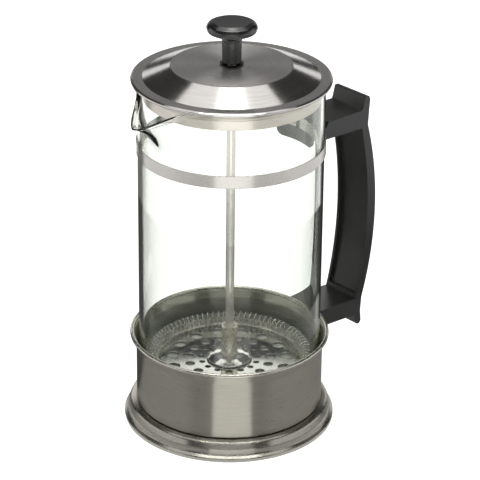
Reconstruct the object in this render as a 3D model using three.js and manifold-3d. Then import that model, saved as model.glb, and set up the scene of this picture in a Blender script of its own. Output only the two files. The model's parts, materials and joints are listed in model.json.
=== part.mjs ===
// French press coffee maker: glass beaker in a steel base cup, black handle, steel lid and plunger.
// Millimetres, +Z up. The origin is the centre of the underside, the handle points along +X
// and the pouring spout along -X.

import * as THREE from "three";
import { mergeVertices } from "three/addons/utils/BufferGeometryUtils.js";
import Module from "manifold-3d";

const wasm = await Module();
wasm.setup();

// ---------------------------------------------------------------- driving dimensions

const GAP = 0.3;                 // clearance kept between pieces that touch
const ROUND = 40;                // facets around the large turned pieces
const SMALL_ROUND = 24;          // facets around the knob, rod and bushings
const TINY_ROUND = 12;           // facets around screws

// glass beaker
const GLASS_RADIUS = 48.5;
const GLASS_WALL = 2.2;
const GLASS_FOOT = 14.9;
const GLASS_FLOOR = 2.8;
const GLASS_TOP = 195.2;
const GLASS_FACETS = 48;
const SPOUT_START = 165;         // height where the spout leaves the wall
const SPOUT_REACH = 18;          // how far the lip stands out
const SPOUT_DROP = 10.5;         // how far the lip dips below the rim
const SPOUT_HALF_WIDTH = 0.225;  // radians

// steel base
const CUP_RADIUS = 50;
const CUP_SHEET = 0.7;
const CUP_FOOT = 11.5;
const CUP_FLOOR_SHEET = 0.8;
const CUP_FLARE_START = 44;
const BEAD_RADIUS = 52.25;       // centreline of the rolled rim
const BEAD_HEIGHT = 50.2;
const BEAD_TUBE = 1.13;
const FOOT_BULGE = 54.7;
const FOOT_EDGE = 56.7;
const PAD_RADIUS = 49.5;
const PAD_THICKNESS = 2.5;

// clamp band around the glass
const BAND_LOW = 155.1;
const BAND_HIGH = 161.8;
const BAND_INNER = 48.8;
const BAND_SHEET = 0.45;
const LUG_SPACING = 2.0;         // distance between the two bent ends
const LUG_END = 60;
const CLAMP_SCREW_X = 55.2;
const CLAMP_SCREW_Z = (BAND_LOW + BAND_HIGH) / 2;

// handle
const HANDLE_WIDTH = 23.7;
const UPPER_ARM_LOW = 148;
const UPPER_ARM_HIGH = 158.4;
const LOWER_ARM_LOW = 35.6;
const LOWER_ARM_HIGH = 45.6;
const ARM_RISE = 1.8;            // lower arm climbs this much towards the cup
const TAB_TOP = 165.9;
const GRIP_FOOT = 29;
const RIM_WALL = 1.6;            // walls of the channel in the grip
const CHANNEL_DEPTH = 2.6;
const SADDLE_HALF_WIDTH = 15;
const SADDLE_LOW = 147.2;
const SADDLE_HIGH = 170;
const SADDLE_FACE = 49.65;
const SADDLE_PLATE = 2.6;
const BOSS_HALF_WIDTH = 7;
const BOSS_END = 57.5;

// bracket welded to the cup, and its screw
const BRACKET_LOW = 40.6;
const BRACKET_SHEET = 1.5;
const BRACKET_END = 64;
const BRACKET_HALF_WIDTH = 5;
const BRACKET_SCREW_X = 59;

// lid
const LID_HOLE = 4.75;
const LID_SHEET = 0.8;
const LID_CROWN = 203;
const LID_FLANGE = 196.3;
const LID_EDGE_RADIUS = 51.9;
const LID_EDGE_LOW = 194.3;
const SKIRT_RADIUS = 45.7;
const SKIRT_SHEET = 0.6;
const SKIRT_LOW = 185.4;

// plunger
const ROD_RADIUS = 2.3;
const ROD_LOW = 25.5;
const ROD_HIGH = 218.5;
const BORE_RADIUS = 2.7;
const BUSHING_FLANGE = 6.1;
const BUSHING_SHANK = 4.3;
const BUSHING_LOW = 196;
const BUSHING_HIGH = 203.7;
const KNOB_RADIUS = 13.3;
const KNOB_TOP = 226;
const KNOB_STEM = 5;
const KNOB_LOW = 204;
const KNOB_BORE = 3.9;
const SLEEVE_RADIUS = 4.4;
const SLEEVE_LOW = 33.8;
const SLEEVE_HIGH = 54;
const WASHER_RADIUS = 12.1;

// filter stack at the foot of the rod
const PLATE_LOW = 32.6;
const PLATE_SHEET = 0.9;
const LIP_RADIUS = 40.1;
const LIP_SHEET = 0.7;
const LIP_TOP = 37.5;
const COIL_TURNS = 84;
const COIL_RING_RADIUS = 42;
const COIL_HEIGHT = 37.2;
const COIL_RADIUS = 3;
const COIL_TURN_STEPS = 6;       // straight steps in each turn
const WIRE_HALF_WIDTH = 0.35;
const SLOT_WIDTH = 1.5;
const SLOT_LOW = 34.2;
const SLOT_HIGH = 36.9;
const HOLE_COUNT = 15;
const HOLE_RINGS = [[31, 3.4, 8], [22, 2.55, 8], [15.2, 1.6, 6]];  // ring and hole radius, facets
const SCREEN_LOW = 31.9;
const SCREEN_SHEET = 0.35;
const SCREEN_RADIUS = 45.85;
const CROSS_LOW = 30.6;
const CROSS_SHEET = 1;
const CROSS_RADIUS = 38;
const NUT_LOW = 24.5;
const NUT_HIGH = 30.3;
const NUT_RADIUS = 6;

// ---------------------------------------------------------------- materials

function finish(color, roughness, metalness) {
  return new THREE.MeshStandardMaterial({ color, roughness, metalness });
}

const brushedSteel = () => finish(0xb4b2ac, 0.32, 1);
const darkSteel = () => finish(0x8d8c84, 0.34, 1);
const brightSteel = () => finish(0xd2d1cc, 0.12, 1);
const blackPlastic = () => finish(0x262624, 0.48, 0);
const glossBlack = () => finish(0x141414, 0.2, 0);
const rubber = () => finish(0x2a2b29, 0.8, 0);
const brass = () => finish(0xb5975a, 0.3, 1);
const glass = () => new THREE.MeshStandardMaterial({
  color: 0xe4efe8,
  roughness: 0.03,
  metalness: 0,
  transparent: true,
  opacity: 0.3,
});

// ---------------------------------------------------------------- solids

function toSolid(geometry) {
  const bare = new THREE.BufferGeometry();
  bare.setAttribute("position", geometry.getAttribute("position"));
  if (geometry.index) {
    bare.setIndex(geometry.index);
  }
  const merged = mergeVertices(bare, 1e-5);
  const corners = [];
  const index = merged.index.array;
  for (let i = 0; i < index.length; i += 3) {
    const [a, b, c] = [index[i], index[i + 1], index[i + 2]];
    if (a !== b && b !== c && c !== a) {
      corners.push(a, b, c);
    }
  }
  return new wasm.Manifold(new wasm.Mesh({
    numProp: 3,
    vertProperties: new Float32Array(merged.getAttribute("position").array),
    triVerts: new Uint32Array(corners),
  }));
}

function toGeometry(solid) {
  const mesh = solid.getMesh();
  const geometry = new THREE.BufferGeometry();
  geometry.setAttribute("position", new THREE.BufferAttribute(new Float32Array(mesh.vertProperties), 3));
  geometry.setIndex(new THREE.BufferAttribute(new Uint32Array(mesh.triVerts), 1));
  geometry.computeVertexNormals();
  return geometry;
}

function joined(solids) {
  return solids.reduce((whole, next) => whole.add(next));
}

// Turns an outline of [radius, height] pairs about the Z axis. An outline that doesn't
// start and end on the axis is closed on itself, which makes a ring.
function turned(outline, facets = ROUND) {
  const points = outline.map(([radius, height]) => new THREE.Vector2(radius, height));
  if (THREE.ShapeUtils.area(points) < 0) {
    points.reverse();
  }
  const onAxis = points.filter((point) => point.x === 0).length >= 2;
  if (onAxis) {
    while (points[0].x !== 0 || points[points.length - 1].x !== 0) {
      points.push(points.shift());
    }
  } else {
    points.push(points[0].clone());
  }
  return new THREE.LatheGeometry(points, facets).rotateX(Math.PI / 2);
}

function shapeOf(points) {
  return new THREE.Shape(points.map(([x, y]) => new THREE.Vector2(x, y)));
}

// A plan outline of [x, y] pairs raised from low to high along Z.
function raised(points, low, high) {
  const geometry = new THREE.ExtrudeGeometry(shapeOf(points), { depth: high - low, bevelEnabled: false });
  return geometry.translate(0, 0, low);
}

// A side outline of [x, z] pairs spread evenly to both sides of the XZ plane.
function spread(points, width) {
  const geometry = new THREE.ExtrudeGeometry(shapeOf(points), { depth: width, bevelEnabled: false });
  return geometry.translate(0, 0, -width / 2).rotateX(Math.PI / 2);
}

function block(xLow, xHigh, halfWidth, low, high) {
  const geometry = new THREE.BoxGeometry(xHigh - xLow, 2 * halfWidth, high - low);
  return geometry.translate((xLow + xHigh) / 2, 0, (low + high) / 2);
}

function uprightPin(radius, x, y, low, high, facets = TINY_ROUND) {
  const geometry = new THREE.CylinderGeometry(radius, radius, high - low, facets).rotateX(Math.PI / 2);
  return geometry.translate(x, y, (low + high) / 2);
}

// A pin whose axis runs along Y at the clamp screw.
function clampPin(radius, yLow, yHigh, facets = TINY_ROUND) {
  const geometry = new THREE.CylinderGeometry(radius, radius, yHigh - yLow, facets);
  return geometry.translate(CLAMP_SCREW_X, (yLow + yHigh) / 2, CLAMP_SCREW_Z);
}

// Points on the arc that runs from a to b and passes through via.
function arcThrough(a, via, b, steps) {
  const d = 2 * (a[0] * (via[1] - b[1]) + via[0] * (b[1] - a[1]) + b[0] * (a[1] - via[1]));
  const square = (p) => p[0] * p[0] + p[1] * p[1];
  const x = (square(a) * (via[1] - b[1]) + square(via) * (b[1] - a[1]) + square(b) * (a[1] - via[1])) / d;
  const y = (square(a) * (b[0] - via[0]) + square(via) * (a[0] - b[0]) + square(b) * (via[0] - a[0])) / d;
  const radius = Math.hypot(a[0] - x, a[1] - y);
  const start = Math.atan2(a[1] - y, a[0] - x);
  const end = Math.atan2(b[1] - y, b[0] - x);
  const points = [];
  for (let i = 0; i <= steps; i += 1) {
    const angle = start + (end - start) * i / steps;
    points.push([x + radius * Math.cos(angle), y + radius * Math.sin(angle)]);
  }
  return points;
}

// Points on a circle about [x, y], from one angle to another in degrees.
function circleArc(x, y, radius, from, to, steps) {
  const points = [];
  for (let i = 0; i <= steps; i += 1) {
    const angle = THREE.MathUtils.degToRad(from + (to - from) * i / steps);
    points.push([x + radius * Math.cos(angle), y + radius * Math.sin(angle)]);
  }
  return points;
}

// ---------------------------------------------------------------- base

function basePad() {
  const wallTop = 9.9;
  const wall = 3;
  return turned([
    [0, 0],
    [PAD_RADIUS, 0],
    [PAD_RADIUS, wallTop],
    [PAD_RADIUS - wall, wallTop],
    [PAD_RADIUS - wall, PAD_THICKNESS],
    [0, PAD_THICKNESS],
  ]);
}

function footRing() {
  const top = CUP_FOOT - GAP;
  return turned([
    [44, top],
    [CUP_RADIUS, top],
    [52.4, top - 0.9],
    [54.1, 8.6],
    [FOOT_BULGE, 6.2],
    [FOOT_BULGE + 0.1, 4.4],
    [FOOT_EDGE - 1, 3.1],
    [FOOT_EDGE, 2.3],
    [FOOT_EDGE, 1.3],
    [FOOT_EDGE - 0.8, 0.6],
    [FOOT_EDGE - 2.2, 0.6],
    [53.6, 3.6],
    [53.3, 7.2],
    [51, top - 1.2],
    [44, top - 1],
  ]);
}

function baseCup() {
  const inner = CUP_RADIUS - CUP_SHEET;
  const floor = CUP_FOOT + CUP_FLOOR_SHEET;
  return turned([
    [0, CUP_FOOT],
    [CUP_RADIUS - 1.1, CUP_FOOT],
    [CUP_RADIUS, CUP_FOOT + 1.1],
    [CUP_RADIUS, CUP_FLARE_START],
    [CUP_RADIUS + 0.4, 46.6],
    [CUP_RADIUS + 1.2, 49.1],
    ...circleArc(BEAD_RADIUS, BEAD_HEIGHT, BEAD_TUBE, -120, 150, 6),
    [CUP_RADIUS + 0.5, 48.9],
    [inner + 0.4, 46.4],
    [inner, CUP_FLARE_START],
    [inner, floor + 0.6],
    [inner - 0.6, floor],
    [0, floor],
  ]);
}

function glassCushion() {
  const low = CUP_FOOT + CUP_FLOOR_SHEET + GAP;
  const high = GLASS_FOOT - GAP;
  return turned([[0, low], [43, low], [44, low + 0.8], [43, high], [0, high]]);
}

// ---------------------------------------------------------------- beaker

function beakerOutline() {
  const inner = GLASS_RADIUS - GLASS_WALL;
  const floor = GLASS_FOOT + GLASS_FLOOR;
  const rows = [SPOUT_START, 171, 177, 182, 186.5, 190.5];
  const outerCorner = circleArc(GLASS_RADIUS - 8, GLASS_FOOT + 8, 8, -90, 0, 3);
  const innerCorner = circleArc(inner - 6, floor + 6, 6, 0, -90, 3);
  return [
    [0, GLASS_FOOT],
    ...outerCorner,
    ...rows.map((height) => [GLASS_RADIUS, height]),
    [GLASS_RADIUS + 0.4, 193.6],
    [GLASS_RADIUS, GLASS_TOP - 0.3],
    [GLASS_RADIUS - 1.1, GLASS_TOP],
    [inner + 0.2, GLASS_TOP - 0.6],
    ...rows.toReversed().map((height) => [inner, height]),
    ...innerCorner,
    [0, floor],
  ];
}

// The lip is pulled outward and down around the -X direction. Facets crowd towards it.
function beaker() {
  const geometry = turned(beakerOutline(), GLASS_FACETS);
  const position = geometry.getAttribute("position");
  const crowding = 0.45;
  for (let i = 0; i < position.count; i += 1) {
    const radius = Math.hypot(position.getX(i), position.getY(i));
    const height = position.getZ(i);
    if (radius < 1e-6) {
      continue;
    }
    const even = Math.atan2(position.getY(i), -position.getX(i));
    const angle = even - crowding * Math.sin(even);
    const rise = Math.max(0, (height - SPOUT_START) / (GLASS_TOP - SPOUT_START)) ** 1.7;
    const pull = rise * Math.exp(-((Math.abs(angle) / SPOUT_HALF_WIDTH) ** 1.5));
    const reached = radius + SPOUT_REACH * pull;
    position.setXYZ(i, -reached * Math.cos(angle), reached * Math.sin(angle), height - SPOUT_DROP * pull);
  }
  return geometry;
}

// ---------------------------------------------------------------- clamp band and handle

function clampBand() {
  const outer = BAND_INNER + BAND_SHEET;
  const half = LUG_SPACING / 2;
  const section = [[BAND_INNER, BAND_LOW], [outer, BAND_LOW], [outer, BAND_HIGH], [BAND_INNER, BAND_HIGH]];
  const opening = block(BAND_INNER - 2, outer + 2, half, BAND_LOW - 1, BAND_HIGH + 1);
  let solid = toSolid(turned(section)).subtract(toSolid(opening));
  for (const side of [-1, 1]) {
    const lug = block(BAND_INNER, LUG_END, BAND_SHEET / 2, BAND_LOW, BAND_HIGH);
    solid = solid.add(toSolid(lug.translate(0, side * (half + BAND_SHEET / 2), 0)));
  }
  return toGeometry(solid.subtract(toSolid(clampPin(1.8, -5, 5))));
}

function clampScrew() {
  const shank = toSolid(clampPin(1.4, -6.4, 5.6));
  const head = toSolid(clampPin(2.7, 5, 6.7));
  const slot = toSolid(new THREE.BoxGeometry(4.4, 0.8, 0.8).translate(CLAMP_SCREW_X, 6.7, CLAMP_SCREW_Z));
  return toGeometry(shank.add(head).subtract(slot));
}

function clampNut() {
  const body = toSolid(clampPin(3.1, -6, -3.8, 6));
  return toGeometry(body.subtract(toSolid(clampPin(1.75, -8, -2))));
}

function handleOutline() {
  const gripOuter = arcThrough([88, LOWER_ARM_HIGH], [96.2, 99], [88.5, UPPER_ARM_LOW + 1], 14);
  const gripInner = arcThrough([84, UPPER_ARM_LOW], [90.3, 103], [83.4, LOWER_ARM_HIGH], 12);
  return [
    [48, LOWER_ARM_LOW + ARM_RISE],
    [82.3, LOWER_ARM_LOW],
    [84.9, GRIP_FOOT + 0.7],
    [86.4, GRIP_FOOT],
    [87.9, GRIP_FOOT + 1],
    [87.3, 37],
    ...gripOuter,
    [88.9, UPPER_ARM_HIGH],
    [89.6, TAB_TOP - 2.6],
    [88.9, TAB_TOP - 0.6],
    [86, TAB_TOP],
    [84, UPPER_ARM_HIGH],
    [48, UPPER_ARM_HIGH],
    [48, UPPER_ARM_LOW + 1.1],
    ...gripInner,
    [48, LOWER_ARM_HIGH + ARM_RISE],
  ];
}

// The recess along the side of the grip that faces the glass.
function gripChannel() {
  const face = arcThrough([83, UPPER_ARM_LOW - 2], [89.3, 103], [82.4, LOWER_ARM_HIGH + 2], 10);
  const floor = arcThrough([83.4, LOWER_ARM_HIGH + 2.5], [90.3, 103], [84, UPPER_ARM_LOW - 2.5], 12);
  const deepened = floor.map(([x, z]) => [x + CHANNEL_DEPTH, z]);
  return spread([...face, ...deepened], HANDLE_WIDTH - 2 * RIM_WALL);
}

// Plate at the end of the upper arm that follows the glass, with a boss for the clamp screw.
function saddle() {
  const outer = SADDLE_FACE + SADDLE_PLATE;
  const span = THREE.MathUtils.radToDeg(Math.asin(SADDLE_HALF_WIDTH / outer));
  const back = [[46, SADDLE_HALF_WIDTH], [46, -SADDLE_HALF_WIDTH]];
  const plan = [...circleArc(0, 0, outer, -span, span, 8), ...back];
  const corner = 4;
  const side = SADDLE_HALF_WIDTH + 1;
  const face = [
    ...circleArc(side - corner - 1, SADDLE_LOW + corner, corner, -90, 0, 3),
    ...circleArc(side - corner - 1, SADDLE_HIGH - corner, corner, 0, 90, 3),
    ...circleArc(1 + corner - side, SADDLE_HIGH - corner, corner, 90, 180, 3),
    ...circleArc(1 + corner - side, SADDLE_LOW + corner, corner, 180, 270, 3),
  ];
  const depth = 14;
  const rounded = new THREE.ExtrudeGeometry(shapeOf(face), { depth, bevelEnabled: false });
  rounded.rotateX(Math.PI / 2).rotateZ(Math.PI / 2).translate(44, 0, 0);
  const plate = toSolid(raised(plan, SADDLE_LOW - 1, SADDLE_HIGH + 1)).intersect(toSolid(rounded));
  const boss = toSolid(block(46, BOSS_END, BOSS_HALF_WIDTH, SADDLE_LOW, SADDLE_HIGH - 4));
  return plate.add(boss);
}

function bracketSlot() {
  const tongue = block(46, BRACKET_END + GAP, BRACKET_HALF_WIDTH + GAP, BRACKET_LOW - GAP,
    BRACKET_LOW + BRACKET_SHEET + GAP);
  const pad = block(46, 53.4, 6 + GAP, BRACKET_LOW - 2.5 - GAP, BRACKET_LOW + 4 + GAP);
  return toSolid(tongue).add(toSolid(pad));
}

function handle() {
  const glassRoom = turned([[0, 130], [SADDLE_FACE, 130], [SADDLE_FACE, 180], [0, 180]]);
  const cupRoom = turned([
    [0, 25],
    [CUP_RADIUS + GAP, 25],
    [CUP_RADIUS + GAP, CUP_FLARE_START],
    [CUP_RADIUS + 0.5 + GAP, 46.4],
    [CUP_RADIUS + 1.5 + GAP, 49],
    [0, 49],
  ]);
  const lugHalf = LUG_SPACING / 2 + BAND_SHEET + GAP;
  const cuts = [
    toSolid(gripChannel()),
    toSolid(glassRoom),
    toSolid(cupRoom),
    toSolid(block(46, LUG_END + GAP, lugHalf, BAND_LOW - GAP, BAND_HIGH + GAP)),
    toSolid(clampPin(1.8, -12, 12)),
    toSolid(clampPin(3.1, 4.7, 12.5)),
    toSolid(clampPin(3.5, -12.5, -3.5, 6)),
    bracketSlot(),
    toSolid(uprightPin(1.6, BRACKET_SCREW_X, 0, 38, 44.6)),
    toSolid(uprightPin(3, BRACKET_SCREW_X, 0, 30, 38.8)),
  ];
  const body = toSolid(spread(handleOutline(), HANDLE_WIDTH)).add(saddle());
  return toGeometry(cuts.reduce((whole, cut) => whole.subtract(cut), body));
}

function handleBracket() {
  const cupRoom = turned([
    [0, 30],
    [CUP_RADIUS + GAP, 30],
    [CUP_RADIUS + GAP, CUP_FLARE_START],
    [CUP_RADIUS + 0.4 + GAP, 46.4],
    [0, 46.4],
  ]);
  const tongue = block(48, BRACKET_END, BRACKET_HALF_WIDTH, BRACKET_LOW, BRACKET_LOW + BRACKET_SHEET);
  const pad = block(48, 51.6, 6, BRACKET_LOW - 2.5, BRACKET_LOW + 4);
  const hole = uprightPin(1.6, BRACKET_SCREW_X, 0, 30, 50);
  return toGeometry(toSolid(tongue).add(toSolid(pad)).subtract(toSolid(cupRoom)).subtract(toSolid(hole)));
}

function bracketScrew() {
  const head = toSolid(uprightPin(2.7, BRACKET_SCREW_X, 0, 37, 38.5));
  const shank = toSolid(uprightPin(1.25, BRACKET_SCREW_X, 0, 38, 44.2));
  const slot = toSolid(new THREE.BoxGeometry(4.4, 0.8, 0.8).translate(BRACKET_SCREW_X, 0, 37));
  return toGeometry(head.add(shank).subtract(slot));
}

// ---------------------------------------------------------------- lid

function lidDome() {
  const crown = LID_CROWN;
  const flange = LID_FLANGE;
  const edge = LID_EDGE_RADIUS;
  return turned([
    [LID_HOLE, crown],
    [26, crown - 0.15],
    [32, crown - 0.6],
    [35.5, crown - 1.7],
    [45.2, flange + 0.3],
    [46.4, flange],
    [edge - 0.8, flange],
    [edge - 0.1, flange - 0.5],
    [edge, flange - 1.1],
    [edge - 0.1, LID_EDGE_LOW + 0.3],
    [edge - 0.5, LID_EDGE_LOW],
    [edge - 1, LID_EDGE_LOW + 0.3],
    [edge - 1.1, flange - LID_SHEET],
    [46.1, flange - LID_SHEET],
    [44.8, flange - LID_SHEET + 0.35],
    [35.2, crown - 1.7 - LID_SHEET],
    [31.8, crown - 0.6 - LID_SHEET],
    [LID_HOLE, crown - LID_SHEET],
  ]);
}

function lidSkirt() {
  const top = LID_FLANGE - LID_SHEET - GAP;
  const inner = SKIRT_RADIUS - SKIRT_SHEET;
  return turned([
    [inner, SKIRT_LOW],
    [SKIRT_RADIUS, SKIRT_LOW],
    [SKIRT_RADIUS, top],
    [inner - 1.9, top],
    [inner - 1.9, top - SKIRT_SHEET],
    [inner, top - SKIRT_SHEET],
  ]);
}

// ---------------------------------------------------------------- plunger

function rodBushing() {
  return turned([
    [BORE_RADIUS, BUSHING_LOW],
    [BUSHING_SHANK, BUSHING_LOW],
    [BUSHING_SHANK, LID_CROWN + GAP],
    [BUSHING_FLANGE, LID_CROWN + GAP],
    [BUSHING_FLANGE, BUSHING_HIGH - 0.15],
    [BUSHING_FLANGE - 0.4, BUSHING_HIGH],
    [BORE_RADIUS, BUSHING_HIGH],
  ], SMALL_ROUND);
}

function bushingClip() {
  const high = LID_CROWN - LID_SHEET - GAP;
  return turned([
    [BUSHING_SHANK + GAP, high - 0.6],
    [7.4, high - 0.6],
    [7.4, high],
    [BUSHING_SHANK + GAP, high],
  ], SMALL_ROUND);
}

function knob() {
  return turned([
    [0, KNOB_TOP],
    [9.6, KNOB_TOP],
    [11.9, KNOB_TOP - 0.7],
    [13, KNOB_TOP - 2],
    [KNOB_RADIUS, KNOB_TOP - 3.2],
    [12.9, KNOB_TOP - 4.5],
    [11.2, KNOB_TOP - 5.7],
    [8, KNOB_TOP - 6.6],
    [5.8, KNOB_TOP - 7.6],
    [KNOB_STEM, KNOB_TOP - 9.4],
    [KNOB_STEM, KNOB_LOW + 0.6],
    [KNOB_STEM - 0.5, KNOB_LOW],
    [KNOB_BORE, KNOB_LOW],
    [KNOB_BORE, ROD_HIGH + 0.6],
    [0, ROD_HIGH + 0.6],
  ], SMALL_ROUND);
}

function knobInsert() {
  const outer = KNOB_BORE - GAP;
  return turned([
    [BORE_RADIUS, KNOB_LOW + 1.2],
    [outer, KNOB_LOW + 1.2],
    [outer, ROD_HIGH - 0.5],
    [BORE_RADIUS, ROD_HIGH - 0.5],
  ], SMALL_ROUND);
}

function plungerRod() {
  return turned([
    [0, ROD_LOW],
    [ROD_RADIUS - 0.4, ROD_LOW],
    [ROD_RADIUS, ROD_LOW + 0.4],
    [ROD_RADIUS, ROD_HIGH - 0.4],
    [ROD_RADIUS - 0.4, ROD_HIGH],
    [0, ROD_HIGH],
  ], SMALL_ROUND);
}

function rodSleeve() {
  return turned([
    [BORE_RADIUS, SLEEVE_LOW],
    [SLEEVE_RADIUS, SLEEVE_LOW],
    [SLEEVE_RADIUS, SLEEVE_HIGH - 0.7],
    [SLEEVE_RADIUS - 0.5, SLEEVE_HIGH],
    [BORE_RADIUS + 0.3, SLEEVE_HIGH],
    [BORE_RADIUS, SLEEVE_HIGH - 0.6],
  ], SMALL_ROUND);
}

function hubWasher() {
  const low = PLATE_LOW + PLATE_SHEET + GAP;
  const bore = SLEEVE_RADIUS + GAP;
  return turned([
    [bore, low],
    [WASHER_RADIUS, low],
    [WASHER_RADIUS, low + 0.6],
    [WASHER_RADIUS - 0.5, low + 1.4],
    [WASHER_RADIUS - 1.5, low + 1.9],
    [8, low + 2.5],
    [bore, low + 3],
  ], SMALL_ROUND);
}

function platePins(ring, radius, count, facets) {
  const pins = [];
  for (let i = 0; i < count; i += 1) {
    const angle = 2 * Math.PI * (i + 0.5) / count;
    const pin = uprightPin(radius, ring * Math.cos(angle), ring * Math.sin(angle), 25, 36, facets);
    pins.push(toSolid(pin));
  }
  return joined(pins);
}

// One slot in the upturned lip for each turn of the coil, where the turn passes through it.
function lipSlots() {
  const crossing = -Math.acos((LIP_RADIUS - COIL_RING_RADIUS) / COIL_RADIUS);
  const slots = [];
  for (let i = 0; i < COIL_TURNS; i += 1) {
    const angle = (2 * Math.PI * i + crossing) / COIL_TURNS;
    const slot = new THREE.BoxGeometry(3, SLOT_WIDTH, SLOT_HIGH - SLOT_LOW);
    slot.translate(LIP_RADIUS, 0, (SLOT_LOW + SLOT_HIGH) / 2).rotateZ(angle);
    slots.push(toSolid(slot));
  }
  return joined(slots);
}

function spiralPlate() {
  const high = PLATE_LOW + PLATE_SHEET;
  const inner = LIP_RADIUS - LIP_SHEET / 2;
  const outer = LIP_RADIUS + LIP_SHEET / 2;
  const dish = turned([
    [BORE_RADIUS, PLATE_LOW],
    [outer - 0.9, PLATE_LOW],
    [outer - 0.4, PLATE_LOW + 0.5],
    [outer, LIP_TOP],
    [inner, LIP_TOP],
    [inner - 0.3, high],
    [BORE_RADIUS, high],
  ]);
  const holes = HOLE_RINGS.map(([ring, radius, facets]) => platePins(ring, radius, HOLE_COUNT, facets));
  return toGeometry(toSolid(dish).subtract(lipSlots()).subtract(joined(holes)));
}

// Centreline of a long coil spring bent round into a ring. One turn is left out between its ends.
class CoilPath extends THREE.Curve {
  getPoint(share, target = new THREE.Vector3()) {
    const turn = share * (COIL_TURNS - 1) * 2 * Math.PI;
    const around = turn / COIL_TURNS;
    const radius = COIL_RING_RADIUS + COIL_RADIUS * Math.cos(turn);
    const height = COIL_HEIGHT + COIL_RADIUS * Math.sin(turn);
    return target.set(radius * Math.cos(around), radius * Math.sin(around), height);
  }
}

function coilSpring() {
  const path = new CoilPath();
  path.arcLengthDivisions = 4000;
  const half = WIRE_HALF_WIDTH;
  const section = shapeOf([[half, 0], [-half / 2, half], [-half / 2, -half]]);
  const steps = (COIL_TURNS - 1) * COIL_TURN_STEPS;
  return toGeometry(toSolid(new THREE.ExtrudeGeometry(section, { steps, extrudePath: path })));
}

function meshScreen() {
  const sheet = SCREEN_SHEET;
  const outer = SCREEN_RADIUS;
  return turned([
    [BORE_RADIUS, SCREEN_LOW],
    [43.6, SCREEN_LOW],
    [outer, SCREEN_LOW + 2],
    [outer, SCREEN_LOW + 5.2],
    [outer - sheet, SCREEN_LOW + 5.2],
    [outer - sheet, SCREEN_LOW + 2.2],
    [43.4, SCREEN_LOW + sheet],
    [BORE_RADIUS, SCREEN_LOW + sheet],
  ]);
}

function crossPlate() {
  const high = CROSS_LOW + CROSS_SHEET;
  const disc = turned([
    [BORE_RADIUS, CROSS_LOW],
    [CROSS_RADIUS - 0.8, CROSS_LOW],
    [CROSS_RADIUS, CROSS_LOW + 0.5],
    [CROSS_RADIUS - 0.8, high],
    [BORE_RADIUS, high],
  ]);
  return toGeometry(toSolid(disc).subtract(platePins(23.5, 10, 4, 12)));
}

function hubNut() {
  const blank = toSolid(uprightPin(NUT_RADIUS, 0, 0, NUT_LOW, NUT_HIGH, 6));
  return toGeometry(blank.subtract(toSolid(uprightPin(BORE_RADIUS, 0, 0, NUT_LOW - 1, NUT_HIGH + 1))));
}

// ---------------------------------------------------------------- assembly

function piece(name, geometry, material) {
  const mesh = new THREE.Mesh(geometry, material);
  mesh.name = name;
  return mesh;
}

const carafe = new THREE.Group();
carafe.add(
  piece("base_pad", basePad(), rubber()),
  piece("foot_ring", footRing(), darkSteel()),
  piece("base_cup", baseCup(), darkSteel()),
  piece("glass_cushion", glassCushion(), rubber()),
  piece("beaker", beaker(), glass()),
  piece("clamp_band", clampBand(), brushedSteel()),
  piece("clamp_screw", clampScrew(), brightSteel()),
  piece("clamp_nut", clampNut(), brightSteel()),
  piece("handle", handle(), blackPlastic()),
  piece("handle_bracket", handleBracket(), brushedSteel()),
  piece("bracket_screw", bracketScrew(), brightSteel()),
);

const lid = new THREE.Group();
lid.add(
  piece("lid_dome", lidDome(), brushedSteel()),
  piece("lid_skirt", lidSkirt(), brushedSteel()),
);

const plunger = new THREE.Group();
plunger.add(
  piece("rod_bushing", rodBushing(), glossBlack()),
  piece("bushing_clip", bushingClip(), brightSteel()),
  piece("knob", knob(), blackPlastic()),
  piece("knob_insert", knobInsert(), brass()),
  piece("plunger_rod", plungerRod(), brightSteel()),
  piece("rod_sleeve", rodSleeve(), brightSteel()),
  piece("hub_washer", hubWasher(), brightSteel()),
  piece("spiral_plate", spiralPlate(), brightSteel()),
  piece("coil_spring", coilSpring(), brightSteel()),
  piece("mesh_screen", meshScreen(), brushedSteel()),
  piece("cross_plate", crossPlate(), brightSteel()),
  piece("hub_nut", hubNut(), brightSteel()),
);

const frenchPress = new THREE.Group();
frenchPress.add(carafe, lid, plunger);

export default frenchPress;
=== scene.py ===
"""French press coffee maker: the looks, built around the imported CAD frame.

The row frame is in metres, +Z up, with the handle along +X and the pouring spout along -X.
Shapes are written in millimetres and scaled by MM when their meshes are made.
"""

import json
import math

import bmesh
import bpy
from mathutils import Matrix, Vector


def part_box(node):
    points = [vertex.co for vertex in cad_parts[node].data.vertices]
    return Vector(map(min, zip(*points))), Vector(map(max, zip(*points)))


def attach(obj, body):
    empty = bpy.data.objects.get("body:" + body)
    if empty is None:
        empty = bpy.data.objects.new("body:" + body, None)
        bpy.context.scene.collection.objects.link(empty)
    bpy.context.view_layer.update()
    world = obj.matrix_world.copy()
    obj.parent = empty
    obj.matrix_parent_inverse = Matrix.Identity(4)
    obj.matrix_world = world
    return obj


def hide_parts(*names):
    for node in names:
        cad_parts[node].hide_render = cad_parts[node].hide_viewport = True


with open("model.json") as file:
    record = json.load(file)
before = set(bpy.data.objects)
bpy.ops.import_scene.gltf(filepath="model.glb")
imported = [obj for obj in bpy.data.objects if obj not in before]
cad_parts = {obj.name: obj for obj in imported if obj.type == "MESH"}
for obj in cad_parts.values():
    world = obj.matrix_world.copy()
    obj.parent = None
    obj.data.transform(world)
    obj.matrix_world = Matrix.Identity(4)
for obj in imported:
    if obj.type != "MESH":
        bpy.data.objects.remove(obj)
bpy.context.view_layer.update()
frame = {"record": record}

MM = 0.001
ROUND = 192          # steps around the large turned pieces
SMALL_ROUND = 96     # steps around the knob, rod and bushings
GREAT_ROUND = 288    # steps around the glass

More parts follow.
